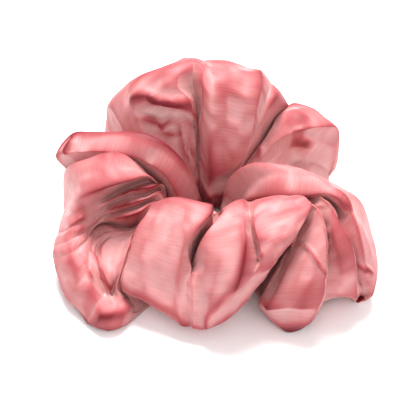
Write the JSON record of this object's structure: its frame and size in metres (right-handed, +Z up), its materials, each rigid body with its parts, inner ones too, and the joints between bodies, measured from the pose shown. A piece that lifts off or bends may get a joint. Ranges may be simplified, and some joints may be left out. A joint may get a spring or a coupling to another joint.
{
  "type": "scrunchie",
  "caption": "Puffy satin hair tie: a gathered fabric tube sewn into a ring over a flat elastic loop that stretches open.",
  "frame": {"origin": "on the table at the middle of the object's footprint, on the axis of the hair opening", "axes": "+Z up out of the table along the hair opening, +X to the ring's right side, which is its longest direction, +Y to the tall puff at the back"},
  "size_m": [0.1143, 0.0991, 0.05],
  "materials": {
    "satin": "dusty pink satin, smooth with a soft directional sheen",
    "elastic": "off-white flat braided elastic, matt",
    "thread": "pink polyester sewing thread, slightly glossy"
  },
  "bodies": {
    "left_side": {"puff_back_left": "satin", "puff_left_rear": "satin", "puff_left": "satin", "puff_left_front": "satin", "puff_front_left": "satin", "elastic_band": "elastic", "lap_needle_thread": "thread", "lap_bobbin_thread": "thread", "long_seam_needle_thread_left": "thread", "long_seam_bobbin_thread_left": "thread"},
    "right_side": {"puff_front_right": "satin", "puff_right_petal": "satin", "puff_right_front": "satin", "puff_right": "satin", "puff_right_rear": "satin", "puff_back_right": "satin", "long_seam_needle_thread_right": "thread", "long_seam_bobbin_thread_right": "thread", "closing_seam_thread": "thread"}
  },
  "joints": [
    {"name": "stretch", "type": "slide", "parent": "left_side", "child": "right_side", "axis": [1, 0, 0], "range_m": [0, 0.05], "stiffness_N_per_m": 60, "deforming": ["elastic_band"]}
  ]
}
